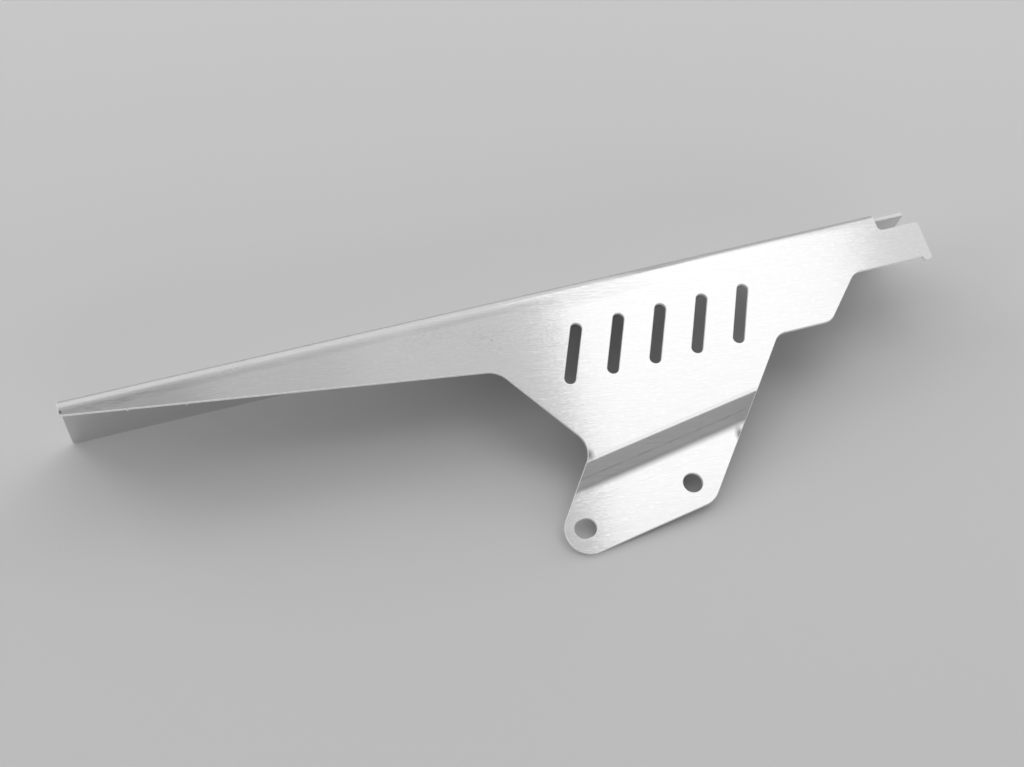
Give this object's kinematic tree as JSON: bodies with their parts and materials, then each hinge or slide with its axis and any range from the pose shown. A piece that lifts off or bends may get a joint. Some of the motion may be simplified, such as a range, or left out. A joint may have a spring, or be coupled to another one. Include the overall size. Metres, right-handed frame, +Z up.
{
  "type": "motorcycle chain guard",
  "caption": "Folded brushed sheet guard that covers a motorcycle's drive chain, with a long tapering tail, a stepped end tab and a set-back foot for bolting to the swingarm.",
  "frame": {"origin": "middle of the footprint, on the surface that the guard rests on", "axes": "+X along the fold towards the end tab, +Y from the foot towards the top flange's back edge, +Z up; the side plate leans 20.5 degrees from level, as the guard lies at rest"},
  "size_m": [0.458, 0.1508, 0.0529],
  "materials": {
    "brushed_sheet": "long brushed grain along the fold, satin, with bright cut edges"
  },
  "bodies": {
    "root": {"chain_guard": "brushed_sheet"}
  },
  "joints": []
}
